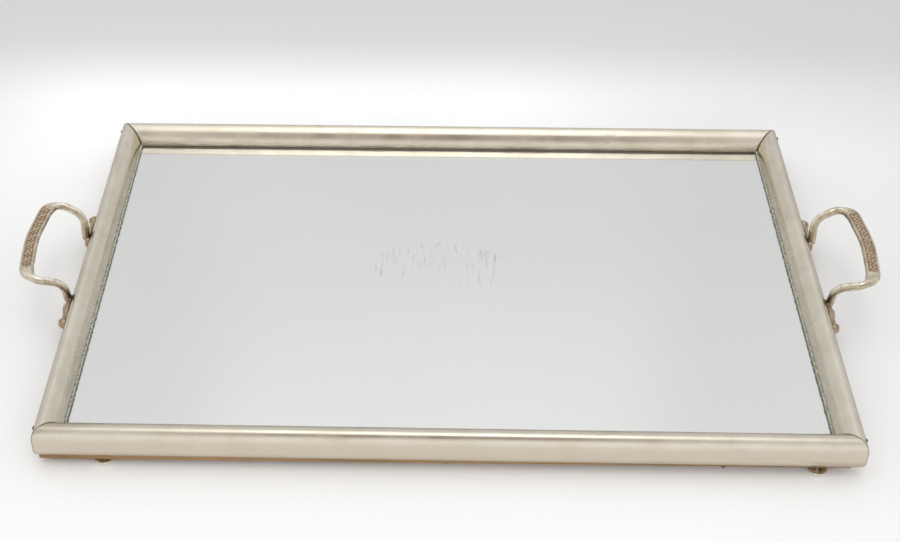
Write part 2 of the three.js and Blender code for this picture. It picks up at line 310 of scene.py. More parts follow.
def glass_look():
    look = Look("clear_glass")
    look.set("IOR", 1.52)
    tint = look.noise(look.place, 3.0, 2.0)
    colour = look.ramp(tint, (0.3, (0.980, 0.988, 0.983)), (0.7, (0.986, 0.991, 0.987)))
    # Painted reflection and shade in a film along the rails, broken into short dashes: grey-green at
    # the sides, standing in for the rails mirrored at the glass's edge, and brown at the front and
    # back, standing in for the dark contact line where the rails meet the glass.
    x, y, _ = look.split(look.place)
    side_gap = look.plus(look.calculate("ABSOLUTE", x), -(HALF_LENGTH - RAIL_WIDTH) * MM)
    end_gap = look.plus(look.calculate("ABSOLUTE", y), -(HALF_DEPTH - RAIL_WIDTH) * MM)
    dash = look.noise(look.stretch(look.place, (90.0, 300.0, 1.0)), 1.0, 2.0, 0.5)
    ragged = look.swing(dash, 0.0012)
    painted_side_reflection = look.range(look.plus(side_gap, ragged), *SIDE_REFLECTION_GAP)
    painted_end_shade = look.range(look.plus(end_gap, look.times(ragged, 0.5)), *END_SHADE_GAP)
    side_reflection_colour = look.mix(look.range(dash, 0.44, 0.56), (0.62, 0.63, 0.52), (0.34, 0.35, 0.26))
    colour = look.mix(painted_side_reflection, colour, side_reflection_colour)
    colour = look.mix(painted_end_shade, colour, (0.50, 0.43, 0.32))
    look.set("Base Color", colour)
    painted_edge_marks = look.calculate("MAXIMUM", painted_side_reflection, painted_end_shade)
    look.set("Transmission Weight", look.range(painted_edge_marks, 0.0, 1.0, 1.0, 0.12))
    smudge = look.range(look.noise(look.place, 11.0, 5.0, 0.65, 0.6), 0.60, 0.80, 0.0, 0.012)
    look.set("Roughness", look.plus(smudge, look.times(painted_edge_marks, 0.35)))
    scratch = look.noise(look.stretch(look.place, (1400.0, 30.0, 1.0), 0.3), 1.0, 2.0)
    look.bump(look.range(scratch, 0.72, 0.78), 0.02, 0.00005)
    return look.material


# Patches of scuffs in the silver: centre along X and Y, and reach along X and Y, in metres.
SCUFFS = [
    (-0.035, 0.010, 0.016, 0.022),
    (0.018, 0.004, 0.022, 0.024),
    (-0.006, 0.020, 0.060, 0.020),
]


def silver_look():
    look = Look("mirror_silver", metallic=1.0)
    x, y, _ = look.split(look.place)
    cloud = look.noise(look.place, 6.0, 3.0)
    colour = look.ramp(cloud, (0.3, (0.90, 0.90, 0.895)), (0.7, (0.925, 0.925, 0.92)))

    # Fine upright scuffs through the silver, thickest left and right of the middle.
    stroke = look.noise(look.stretch(look.place, (430.0, 52.0, 1.0), 0.04), 1.0, 3.0, 0.55)
    wear_and_painted_highlight = None
    for centre_x, centre_y, reach_x, reach_y in SCUFFS:
        off_x = look.times(look.plus(x, -centre_x), 1.0 / reach_x)
        off_y = look.times(look.plus(y, -centre_y), 1.0 / reach_y)
        far = look.plus(look.times(off_x, off_x), look.times(off_y, off_y))
        near = look.range(far, 1.0, 0.15)
        wear_and_painted_highlight = near if wear_and_painted_highlight is None else look.calculate("MAXIMUM", wear_and_painted_highlight, near)
    threshold = look.range(wear_and_painted_highlight, 0.0, 1.0, 0.80, 0.54)
    scuff = look.range(look.plus(stroke, look.times(threshold, -1.0)), -0.02, 0.20)
    colour = look.tinted(colour, scuff, 0.6, (0.56, 0.56, 0.55))
    speck = look.range(look.cells(look.place, 95.0), 0.045, 0.02)
    speck = look.times(speck, look.range(look.noise(look.place, 14.0, 2.0), 0.60, 0.66))
    colour = look.tinted(colour, speck, 0.6, (0.25, 0.24, 0.21))

    look.set("Base Color", colour)
    look.set("Roughness", look.range(cloud, 0.3, 0.7, 0.012, 0.022))
    return look.material


# ---- Cast handles, screws, nails and glides ----
def bronze_look():
    look = Look("handle_nickel_bronze", metallic=1.0)
    cloud = look.noise(look.place, 60.0, 4.0, 0.6)
    grain = look.noise(look.place, 420.0, 4.0, 0.6)
    colour = look.ramp(cloud, (0.3, (0.44, 0.36, 0.25)), (0.5, (0.60, 0.52, 0.40)),
                       (0.7, (0.70, 0.63, 0.51)))
    mottle = look.noise(look.place, 190.0, 5.0, 0.7)
    colour = look.mix(look.range(mottle, 0.48, 0.62, 0.0, 0.55), colour, (0.34, 0.27, 0.17))
    colour = look.mix(look.range(mottle, 0.46, 0.36, 0.0, 0.5), colour, (0.86, 0.80, 0.68))
    # Painted highlight: cream along the tops of the rods, standing in for the ceiling light mirrored
    # there.
    wear_and_painted_highlight = look.times(look.attribute("painted_top_highlight"), look.range(mottle, 0.62, 0.45, 0.35, 0.95))
    colour = look.mix(wear_and_painted_highlight, colour, (0.97, 0.93, 0.83))
    raised = look.range(look.pointiness(), 0.505, 0.56)
    colour = look.tinted(colour, raised, 0.6, (0.84, 0.78, 0.66))
    hollow = look.range(look.pointiness(), 0.495, 0.44)
    colour = look.tinted(colour, hollow, 0.6, (0.30, 0.20, 0.12))
    patina = look.attribute("patina")
    brown = look.ramp(grain, (0.3, (0.27, 0.17, 0.095)), (0.7, (0.42, 0.29, 0.18)))
    colour = look.mix(patina, colour, brown)
    look.set("Base Color", colour)
    rough = look.range(cloud, 0.3, 0.7, 0.22, 0.36)
    rough = look.plus(rough, look.times(patina, 0.25))
    rough = look.plus(rough, look.times(hollow, 0.15))
    look.set("Roughness", rough)
    look.bump(look.plus(look.times(grain, 0.6), look.times(cloud, 0.4)), 0.35, 0.0002)
    return look.material


def small_metal_look(name, dark, light, rough_low, rough_high, grime_and_painted_shade=0.8):
    look = Look(name, metallic=1.0)
    cloud = look.noise(look.place, 260.0, 4.0, 0.6)
    colour = look.ramp(cloud, (0.3, dark), (0.7, light))
    spot = look.range(look.noise(look.place, 900.0, 4.0, 0.6), 0.58, 0.70)
    colour = look.tinted(colour, spot, 0.5, darker(dark, 0.45))
    # Darker in the hollows: grime, and painted shade in slots, under heads and under rims.
    hollow = look.range(look.pointiness(), 0.49, 0.40)
    colour = look.tinted(colour, hollow, grime_and_painted_shade, darker(dark, 0.3))
    look.set("Base Color", colour)
    look.set("Roughness", look.range(cloud, 0.3, 0.7, rough_low, rough_high))
    look.bump(look.noise(look.place, 1500.0, 3.0), 0.2, 0.0001)
    return look.material


# ---- Wood and card ----
WOOD_STRETCH = (9.0, 130.0, 130.0)   # draws the grain out along X
PLY_PITCH = 1.3 * MM                 # from one dark veneer to the next


def wood_look(name, dark, light, ply_edge=False):
    look = Look(name)

    def grain(fineness, *settings):
        scale = tuple(fineness * value for value in WOOD_STRETCH)
        return look.noise(look.stretch(look.place, scale), 1.0, *settings)

    fibre = grain(1.0, 6.0, 0.65, 0.5)
    ring = grain(0.22, 3.0, 0.5, 1.2)
    figure = look.plus(look.times(fibre, 0.6), look.times(ring, 0.4))
    colour = look.ramp(figure, (0.36, dark), (0.62, light))
    pore = look.range(grain(4.0, 3.0), 0.60, 0.70)
    colour = look.tinted(colour, pore, 0.5, darker(dark, 0.45))
    if ply_edge:
        level = look.split(look.place)[2]
        wobble = look.swing(look.noise(look.place, 25.0, 3.0), 0.0006)
        layer = look.times(look.plus(level, wobble), 2.0 * math.pi / PLY_PITCH)
        veneer = look.range(look.calculate("SINE", layer), -0.2, 0.6, 0.0, 0.35)
        colour = look.mix(veneer, colour, darker(dark, 0.5))
    dirt = look.range(look.noise(look.place, 22.0, 5.0, 0.65), 0.55, 0.78)
    colour = look.tinted(colour, dirt, 0.5, darker(dark, 0.4))
    look.set("Base Color", colour)
    look.set("Roughness", look.range(fibre, 0.3, 0.7, 0.58, 0.82))
    look.bump(look.plus(fibre, look.times(pore, -0.6)), 0.5, 0.0003)
    return look.material


def card_look():
    look = Look("packing_card")
    pulp = look.noise(look.place, 700.0, 5.0, 0.7)
    cloud = look.noise(look.place, 20.0, 3.0)
    fibres = look.ramp(pulp, (0.3, (0.30, 0.24, 0.16)), (0.7, (0.46, 0.38, 0.27)))
    stains = look.ramp(cloud, (0.3, (0.34, 0.27, 0.18)), (0.7, (0.42, 0.35, 0.25)))
    look.set("Base Color", look.mix(0.4, fibres, stains))
    look.set("Roughness", look.range(pulp, 0.3, 0.7, 0.82, 0.95))
    look.bump(pulp, 0.4, 0.0002)
    return look.material


PLATING = plating_look()
GLASS = glass_look()
SILVER = silver_look()
BRONZE = bronze_look()
NAIL = small_metal_look("nail_plate", (0.46, 0.41, 0.33), (0.66, 0.61, 0.52), 0.25, 0.4)
GLIDE = small_metal_look("glide_plate", (0.74, 0.70, 0.62), (0.90, 0.87, 0.80), 0.38, 0.52, 0.2)
SCREW = small_metal_look("screw_bronze", (0.46, 0.36, 0.24), (0.68, 0.58, 0.44), 0.28, 0.42)
BRAD = small_metal_look("brad_steel", (0.22, 0.20, 0.18), (0.40, 0.37, 0.33), 0.35, 0.55)
BOARD_WOOD = wood_look("board_plywood", (0.21, 0.125, 0.055), (0.38, 0.235, 0.115), ply_edge=True)
CORE_WOOD = wood_look("core_softwood", (0.36, 0.23, 0.11), (0.58, 0.42, 0.25))
CARD = card_look()


# ---- Meshes ----
def new_object(name, points, faces, materials, smooth=True):
    data = bpy.data.meshes.new(name)
    data.from_pydata([tuple(point) for point in points], [], faces)
    data.update()
    if smooth:
        data.shade_smooth()
    for material in materials:
        data.materials.append(material)
    piece = bpy.data.objects.new(name, data)
    bpy.context.scene.collection.objects.link(piece)
    return piece


def stand_for(piece, node):
    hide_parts(node)
    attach(piece, "root")


def mark(piece, name, values):
    """Stores a value per vertex, for a material to read."""
    layer = piece.data.attributes.new(name, "FLOAT", "POINT")
    layer.data.foreach_set("value", np.array(values, np.float32))


def fix_normals(piece):
    mesh = bmesh.new()
    mesh.from_mesh(piece.data)
    bmesh.ops.recalc_face_normals(mesh, faces=mesh.faces)
    mesh.to_mesh(piece.data)
    mesh.free()


def sharpen(piece, degrees):
    """Marks edges sharper than the angle, so that smooth shading stops there."""
    mesh = bmesh.new()
    mesh.from_mesh(piece.data)
    for edge in mesh.edges:
        if len(edge.link_faces) == 2:
            edge.smooth = edge.calc_face_angle() < math.radians(degrees)
    mesh.to_mesh(piece.data)
    mesh.free()


def band_faces(base, rows, ring):
    """Quads between successive rings of points, numbered on from a base."""
    faces = []
    for row in range(rows - 1):
        a, b = base + row * ring, base + (row + 1) * ring
        for step in range(ring):
            after = (step + 1) % ring
            faces.append((a + step, a + after, b + after, b + step))
    return faces


def capped_faces(base, rows, ring):
    """The faces of a closed tube: a cap, the bands and the other cap."""
    last = base + (rows - 1) * ring
    first_cap = tuple(base + step for step in reversed(range(ring)))
    last_cap = tuple(last + step for step in range(ring))
    return [first_cap, *band_faces(base, rows, ring), last_cap]


def smoothstep(value, low, high):
    t = np.clip((value - low) / (high - low), 0.0, 1.0)
    return t * t * (3 - 2 * t)


# ---- Rails ----
def arc(centre, reach, rise, start, stop, count):
    """Points of an ellipse round a centre, between two angles in degrees."""
    angles = np.radians(np.linspace(start, stop, count))
    return [(centre[0] + reach * math.cos(a), centre[1] + rise * math.sin(a)) for a in angles]


def skin_line(depth):
    """A rail's section as (inset, level) from flange to sight edge, sunk by a depth into the sheet."""
    line = [(FLANGE_REACH, RAIL_BOTTOM + depth), (FLANGE_REACH - FLANGE_WIDTH, RAIL_BOTTOM + depth)]
    lip_centre = (LIP_REACH, RAIL_BOTTOM + LIP_RISE)
    line += arc(lip_centre, LIP_REACH - depth, LIP_RISE - depth, 270, 180, 14)
    outer_rise = CREST - SHOULDER - depth
    line += arc((CREST_INSET, SHOULDER), CREST_INSET - depth, outer_rise, 180, 90, 26)
    below = CREST - INNER_RISE
    end = math.degrees(math.asin((SIGHT_EDGE - below) / (INNER_RISE - depth)))
    line += arc((CREST_INSET, below), INNER_REACH - depth, INNER_RISE - depth, 90, end, 31)[1:]
    return np.array(line)


def across_line(line):
    """How far along a section each of its points lies, from 0 to 1."""
    steps = np.diff(line, axis=0)
    run = np.concatenate([[0.0], np.cumsum(np.hypot(steps[:, 0], steps[:, 1]))])
    return run / run[-1]


def outward_normals(line):
    run = np.gradient(line, axis=0)
    normal = np.stack([run[:, 1], -run[:, 0]], axis=1)
    return normal / np.linalg.norm(normal, axis=1)[:, None]


def rail_stations(side_length):
    """Places along a rail, from -1 to 1, which crowd together where the cut ends are rolled over."""
    middle = np.linspace(-1.0, 1.0, int(side_length / 4))
    edge_steps = np.array([0.0, 0.12, 0.3, 0.6, 1.2]) * 2 / side_length
    return np.unique(np.concatenate([middle, -1 + edge_steps, 1 - edge_steps]))


def random_waves(count):
    """Sine waves as (length, weight, shift, slant)."""
    return [(random.uniform(25, 140), random.uniform(0.4, 1.0), random.uniform(0, 6.3),
             random.uniform(-3, 3)) for _ in range(count)]


def unevenness(along, across, waves):
    """Slight waves of rolled sheet, from 0 to 1."""
    total = np.zeros_like(along)
    for length, weight, shift, slant in waves:
        total += weight * np.sin(2 * np.pi * along / length + shift + slant * across)
    return 0.5 + 0.5 * total / sum(weight for _, weight, _, _ in waves)


def rail_faces(rows, half_ring):
    """Bands round a rail's hollow section, and the sheet's cut edge at both of its ends."""
    ring = 2 * half_ring
    faces = band_faces(0, rows, ring)
    last = (rows - 1) * ring
    for i in range(half_ring - 1):
        k = ring - 1 - i
        faces.append((i, k, k - 1, i + 1))
        faces.append((last + i, last + i + 1, last + k - 1, last + k))
    return faces


def rail(name, side_length, offset, turn):
    """A mitred rail: its section swept along X, then turned to its side of the frame."""
    outer, inner = skin_line(0.0), skin_line(SHEET)
    across = across_line(outer)
    normal = outward_normals(outer)
    waves = random_waves(9)
    # Painted reflection: the outer shoulder of a rail that carries a handle is marked to be darkened,
    # standing in for the shadowed floor that it mirrors.
    shoulder_reflection = np.zeros(len(outer))
    if name in ("left", "right"):
        inset, level = outer[:, 0], outer[:, 1]
        shoulder_reflection = smoothstep(inset, 3.0, 1.2) * smoothstep(level, SHOULDER - 5.0, SHOULDER - 1.0)
    points, uvs, seams, painted_shoulder_reflection = [], [], [], []
    stations = rail_stations(side_length)
    for station in stations:
        along = station * (side_length / 2 - outer[:, 0] - SEAM / 2)
        to_end = (1 - abs(station)) * side_length / 2
        dent = DENT * unevenness(along, across, waves)
        dent = dent + ROLLED_EDGE * max(0.0, 1 - to_end / ROLLED_LENGTH) ** 2
        skin = outer + normal * dent[:, None]
        lining = station * (side_length / 2 - inner[:, 0] - SEAM / 2)
        for (u, z), x, v in [*zip(skin, along, across), *zip(inner[::-1], lining[::-1], across[::-1])]:
            points.append((x, u - offset, z))
            uvs.append((x * MM, v))
        seams += [max(0.0, 1 - to_end / SEAM_DIRT)] * len(outer) + [1.0] * len(inner)
        painted_shoulder_reflection += [*shoulder_reflection, *np.zeros(len(inner))]
    spin = Matrix.Rotation(turn, 4, "Z")
    placed = [spin @ Vector(point) * MM for point in points]
    piece = new_object(f"{name}_rail_plate", placed, rail_faces(len(stations), len(outer)), [PLATING])
    layer = piece.data.uv_layers.new(name="UVMap")
    shift = random.uniform(0, 3)
    for loop in piece.data.loops:
        u, v = uvs[loop.vertex_index]
        layer.data[loop.index].uv = (u + shift, v)
    mark(piece, "seam", seams)
    mark(piece, "painted_shoulder_reflection", painted_shoulder_reflection)
    fix_normals(piece)
    sharpen(piece, 40)
    stand_for(piece, f"{name}_rail")


rail("front", 2 * HALF_LENGTH, HALF_DEPTH, 0.0)
rail("right", 2 * HALF_DEPTH, HALF_LENGTH, math.pi / 2)
rail("back", 2 * HALF_LENGTH, HALF_DEPTH, math.pi)
rail("left", 2 * HALF_DEPTH, HALF_LENGTH, -math.pi / 2)


# ---- Mirror glass: a slab with ground edges, silvered below ----
def slab_outline(half_x, half_y, inset, level):
    """A rectangle with rounded corners, taken in by an inset."""
    straight_x, straight_y = half_x - GLASS_CORNER, half_y - GLASS_CORNER
    radius = GLASS_CORNER - inset
    facets = 6
    corners = []
    for quarter, (sign_x, sign_y) in enumerate([(1, 1), (-1, 1), (-1, -1), (1, -1)]):
        for step in range(facets + 1):
            angle = math.pi / 2 * (quarter + step / facets)
            corners.append(((sign_x * straight_x + radius * math.cos(angle)) * MM,
                            (sign_y * straight_y + radius * math.sin(angle)) * MM, level * MM))
    return corners


def mirror_slab():
    half_x, half_y = glass_high.x / MM, glass_high.y / MM
    levels = [(GRIND, GLASS_BOTTOM), (0, GLASS_BOTTOM + GRIND), (0, GLASS_TOP - GRIND),
              (GRIND, GLASS_TOP)]
    rings = [slab_outline(half_x, half_y, inset, level) for inset, level in levels]
    points = [point for ring in rings for point in ring]
    faces = capped_faces(0, len(rings), len(rings[0]))
    piece = new_object("mirror_slab", points, faces, [GLASS, SILVER], smooth=False)
    underside = piece.data.polygons[0]
    underside.material_index = 1
    stand_for(piece, "mirror_glass")


mirror_slab()


# ---- Round fasteners: a profile of (radius, height) spun about Z, then turned and moved ----
def spun(name, profile, centre, axis, material, facets=40, slot_width=0.0, slot_depth=0.0):
    """A spun solid, with a slot cut across its head where a slot's width is given."""
    points = [(0.0, 0.0, profile[0][1])]
    for radius, height in profile[1:-1]:
        for step in range(facets):
            angle = 2 * math.pi * step / facets
            x, y, z = radius * math.cos(angle), radius * math.sin(angle), height
            if slot_width and height > 0 and abs(y) < slot_width / 2:
                z = max(SLOT_FLOOR, z - slot_depth)
            points.append((x, y, z))
    if slot_width:
        points[0] = (0.0, 0.0, profile[0][1] - slot_depth)
    points.append((0.0, 0.0, profile[-1][1]))
    rows = len(profile) - 2
    faces = []
    for step in range(facets):
        after = (step + 1) % facets
        faces.append((0, 1 + step, 1 + after))
        for row in range(rows - 1):
            a, b = 1 + row * facets, 1 + (row + 1) * facets
            faces.append((a + step, b + step, b + after, a + after))
        a = 1 + (rows - 1) * facets
        faces.append((a + step, len(points) - 1, a + after))
    aim = Vector((0, 0, 1)).rotation_difference(Vector(axis)).to_matrix()
    placed = [(Vector(centre) + aim @ Vector(point)) * MM for point in points]
    piece = new_object(name, placed, faces, [material])
    fix_normals(piece)
    sharpen(piece, 50)
    return piece


def dome(radius, height, rows, stub_radius, stub_length):
    """A domed head above its seat at height 0, with a stub of shank below."""
    profile = [(0.0, height)]
    for step in range(1, rows + 1):
        angle = math.pi / 2 * step / rows
        profile.append((radius * math.sin(angle), height * math.cos(angle)))
    return profile + [(radius * 0.98, -0.03), (stub_radius, -0.03), (stub_radius, -stub_length),
                      (0.0, -stub_length)]


NAIL_HEAD = dome(radius=1.25, height=0.55, rows=6, stub_radius=0.5, stub_length=0.1)
NAIL_SEAT = 0.25         # how far the head's seat lies inside the rail's face
SCREW_HEAD = dome(radius=2.5, height=1.48, rows=12, stub_radius=0.9, stub_length=0.1)
SCREW_SEAT = 1.5         # below the top of the head
SLOT_WIDTH = 0.55
SLOT_DEPTH = 0.6
SLOT_FLOOR = 0.1         # the lowest that a slot cuts, above the seat
BRAD_HEAD = dome(radius=1.3, height=0.42, rows=6, stub_radius=0.58, stub_length=8.0)
BRAD_SEAT = 0.6
GLIDE_FLAT = 1.2         # radii of its flat and its pin
GLIDE_PIN = 0.68
GLIDE_PIN_END = -8.8


def size_of(node):
    """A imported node's lowest corner, highest corner and centre, in millimetres."""
    low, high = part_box(node)
    return low / MM, high / MM, (low + high) / 2 / MM


def corner_nail(end, side, sign):
    node = f"{end}_{side}_corner_nail"
    _, _, centre = size_of(node)
    seat = Vector((sign * (HALF_LENGTH - NAIL_SEAT), centre.y, centre.z))
    stand_for(spun(f"{node}_head", NAIL_HEAD, seat, (sign, 0, 0), NAIL), node)


def handle_screw(end, side, sign):
    node = f"{side}_handle_{end}_screw"
    low, high, centre = size_of(node)
    top = high.x if sign > 0 else low.x
    seat = Vector((top - sign * SCREW_SEAT, centre.y, centre.z))
    piece = spun(f"{node}_head", SCREW_HEAD, seat, (sign, 0, 0), SCREW, 64, SLOT_WIDTH, SLOT_DEPTH)
    stand_for(piece, node)


def board_brad(node):
    low, _, centre = size_of(node)
    seat = (centre.x, centre.y, low.z + BRAD_SEAT)
    stand_for(spun(f"{node}_head", BRAD_HEAD, seat, (0, 0, -1), BRAD, 28), node)


def glide(node):
    """A pressed nail glide: a domed cup with a small flat, a rolled rim and a pin."""
    low, high, centre = size_of(node)
    top, radius = GLIDE_HEIGHT, (high.x - low.x) / 2
    facets = 12
    profile = [(0.0, top), (GLIDE_FLAT, top)]
    for step in range(1, facets + 1):
        angle = math.pi / 2 * step / facets
        profile.append((1.9 + (radius - 2.0) * math.sin(angle),
                        top - (top - 0.5) * (1 - math.cos(angle))))
    profile += [(radius - 0.02, 0.3), (radius - 0.25, 0.05), (radius - 0.7, 0.0), (radius - 2.2, 0.1),
                (2.2, 0.6), (GLIDE_PIN, 1.0), (GLIDE_PIN, GLIDE_PIN_END), (0.0, GLIDE_PIN_END)]
    piece = spun(f"{node}_cup", profile, (centre.x, centre.y, top), (0, 0, -1), GLIDE, 48)
    stand_for(piece, node)


for side, sign in (("left", -1), ("right", 1)):
    for end in ("front", "back"):
        corner_nail(end, side, sign)
        handle_screw(end, side, sign)
for node in [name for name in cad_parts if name.startswith("board_brad")]:
    board_brad(node)
for node in [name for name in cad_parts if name.endswith("_glide")]:
    glide(node)


# ---- Handles ----
# The centre line of one half, from the foot of a leg to the middle of the grip, in
# millimetres: out from the frame's side, along Y, above the glass.
HALF_ROUTE = [
    (3.2, 29.3, 2.0), (3.4, 30.5, 8.0), (3.8, 32.3, 13.3), (6.6, 33.9, 17.9), (11.8, 35.4, 20.5),
    (16.9, 36.2, 22.1), (21.5, 34.4, 23.0), (24.6, 30.2, 23.6), (26.5, 16.4, 24.1), (27.6, 0.0, 24.3),
]
ROD_RADIUS = 2.4
GRIP_HALF_WIDTH = 4.2
GRIP_HALF_THICKNESS = 2.1
PANEL_HALF_WIDTH = 2.9
PANEL_HALF_LENGTH = 29.0
PANEL_SHIFT = 1.3        # the panel sits nearer the grip's back end
PANEL_DEPTH = 0.55
FLAT_START = 19.5        # how far out the rod begins to flatten into the grip
FLAT_END = 25.2
PLATE_GAP = 0.3          # between a foot plate and the frame's side
PLATE_ROOT = 26.2
PLATE_TIP = 49.3
PLATE_TIP_RADIUS = 3.4
PLATE_THICKNESS = 3.55
LEAF_LENGTH = 17.0
LEAF_ROOT = 3.0          # half heights of a foot plate's leaf and neck
NECK = 2.7
BOSS_ALONG = 37.0
BOSS_SIZE = (1.4, 4.0, 3.2)   # half its size outwards, along the plate and upwards
VINE_PITCH = 7.2
VEIN_PITCH = 2.3
VOXEL = 0.34 * MM


def catmull_rom(points, count):
    """An even run of points along a centripetal Catmull-Rom curve."""
    points = [2 * points[0] - points[1], *points, 2 * points[-1] - points[-2]]
    fine = []
    for i in range(1, len(points) - 2):
        p = points[i - 1:i + 3]
        t = [0.0]
        for j in range(3):
            t.append(t[-1] + math.sqrt(np.linalg.norm(p[j + 1] - p[j])))
        for s in np.linspace(t[1], t[2], 40, endpoint=False):
            a = [((t[j + 1] - s) * p[j] + (s - t[j]) * p[j + 1]) / (t[j + 1] - t[j]) for j in range(3)]
            b = [((t[j + 2] - s) * a[j] + (s - t[j]) * a[j + 1]) / (t[j + 2] - t[j]) for j in range(2)]
            fine.append(((t[2] - s) * b[0] + (s - t[1]) * b[1]) / (t[2] - t[1]))
    fine = np.array(fine + [points[-2]])
    run = np.concatenate([[0.0], np.cumsum(np.linalg.norm(np.diff(fine, axis=0), axis=1))])
    even = np.linspace(0, run[-1], count)
    return np.stack([np.interp(even, run, fine[:, k]) for k in range(3)], axis=1), even


def handle_line(stations):
    """The rod's centres, run, up and across directions, with X out from the frame's side."""
    half = [np.array(point) for point in HALF_ROUTE]
    whole = half + [np.array([out, -along, up]) for out, along, up in reversed(half[:-1])]
    centres, run = catmull_rom(whole, stations)
    tangents = np.gradient(centres, axis=0)
    tangents /= np.linalg.norm(tangents, axis=1)[:, None]
    lean = tangents[:, 2]
    up = np.stack([-np.abs(lean), 0 * lean, np.sqrt(1 - lean ** 2)], axis=1)
    up -= tangents * np.sum(up * tangents, axis=1)[:, None]
    up /= np.linalg.norm(up, axis=1)[:, None]
    return centres, run, up, np.cross(tangents, up)


def circle(count):
    """Cosines and sines of an even ring of angles."""
    angles = [2 * math.pi * step / count for step in range(count)]
    return [(math.cos(angle), math.sin(angle)) for angle in angles]


def squared(value, power):
    """Moves a coordinate of a unit circle out towards a rounded square."""
    return math.copysign(abs(value) ** power, value)


def rod_rings():
    """Round over the legs and arms, and flattened over the grip."""
    centres, _, up, across = handle_line(260)
    rings = []
    for centre, rise, side in zip(centres, up, across):
        blend = float(smoothstep(centre[0], FLAT_START, FLAT_END))
        width = ROD_RADIUS + (GRIP_HALF_WIDTH - ROD_RADIUS) * blend
        thick = ROD_RADIUS + (GRIP_HALF_THICKNESS - ROD_RADIUS) * blend
        power = 1 - 0.38 * blend
        rings.append([centre + side * (squared(s, power) * width) + rise * (squared(c, power) * thick)
                      for c, s in circle(36)])
    return rings


def leaf_half_height(along):
    """Outline of a foot plate: a leaf that narrows to a neck and ends in a round tip."""
    leaf = LEAF_ROOT + 1.2 * np.sin(np.pi * np.clip((along - PLATE_ROOT) / LEAF_LENGTH, 0, 1)) ** 0.8
    narrowed = leaf + (NECK - LEAF_ROOT) * smoothstep(along, 38.0, PLATE_ROOT + LEAF_LENGTH)
    body = np.where(along < PLATE_ROOT + LEAF_LENGTH, narrowed, NECK)
    tip = np.sqrt(np.clip(PLATE_TIP_RADIUS ** 2 - (along - PLATE_TIP) ** 2, 0.0, None))
    return np.maximum(np.where(along > PLATE_TIP, tip, np.maximum(body, tip)), 0.02)


def plate_rings(end):
    rings = []
    length = PLATE_TIP + PLATE_TIP_RADIUS - PLATE_ROOT
    for along in PLATE_ROOT + length * np.linspace(0, 1, 90) ** 0.9:
        half = float(leaf_half_height(along))
        rings.append([np.array([PLATE_GAP + PLATE_THICKNESS * (0.5 + 0.5 * squared(c, 0.45)),
                                end * along, half * squared(s, 0.55)]) for c, s in circle(24)])
    return rings


def boss_rings(end):
    """The rounded bud in the middle of a foot plate."""
    out, along, up = BOSS_SIZE
    rows = 12
    rings = []
    for row in range(rows + 1):
        lift = math.pi * row / rows
        radius = math.sin(lift) + 1e-3
        rings.append([np.array([PLATE_GAP + PLATE_THICKNESS + out * math.cos(lift),
                                end * BOSS_ALONG + along * radius * c, up * radius * s])
                      for c, s in circle(20)])
    return rings


def vine(along, wide):
    """Raised leaf work in the sunken panel, 0 to 1: a waving stem with a curled leaf in each bend."""
    phase = along / VINE_PITCH
    stem = np.abs(wide - 0.62 * PANEL_HALF_WIDTH * np.sin(2 * np.pi * phase))
    height = 1 - smoothstep(stem, 0.28, 0.62)
    for side in (1, -1):
        cell = phase - (0.25 if side > 0 else 0.75)
        near = (cell - np.round(cell)) * VINE_PITCH
        u = near * 0.8 + 0.6 * (wide + side * 1.0)
        v = -0.6 * near + 0.8 * (wide + side * 1.0)
        far = np.hypot(u / 1.25, v / 0.8)
        leaf = (1 - smoothstep(far, 0.65, 1.05)) * (0.55 + 0.45 * smoothstep(np.abs(v), 0.08, 0.3))
        height = np.maximum(height, leaf)
    return height


def remeshed(piece, name):
    """Fuses overlapping closed shapes into one skin and softens the joins like a casting."""
    remesh = piece.modifiers.new("fuse", "REMESH")
    remesh.mode = "VOXEL"
    remesh.voxel_size = VOXEL
    soften = piece.modifiers.new("soften", "SMOOTH")
    soften.factor = 0.5
    soften.iterations = 5
    bpy.context.view_layer.update()
    fused = bpy.data.meshes.new_from_object(piece.evaluated_get(bpy.context.evaluated_depsgraph_get()))
    bpy.data.objects.remove(piece)
    fused.name = name
    cast = bpy.data.objects.new(name, fused)
    bpy.context.scene.collection.objects.link(cast)
    return cast


def vertex_vectors(source, count, name):
    """Vectors stored per vertex, one to a row."""
    values = np.zeros(count * 3)
    source.foreach_get(name, values)
    return values.reshape(-1, 3)


def nearest_stations(places, centres):
    nearest = np.zeros(len(places), int)
    batch = 4000
    for start in range(0, len(places), batch):
        gap = places[start:start + batch, None, :] - centres[None, :, :]
        nearest[start:start + batch] = np.argmin(np.sum(gap * gap, axis=2), axis=1)
    return nearest


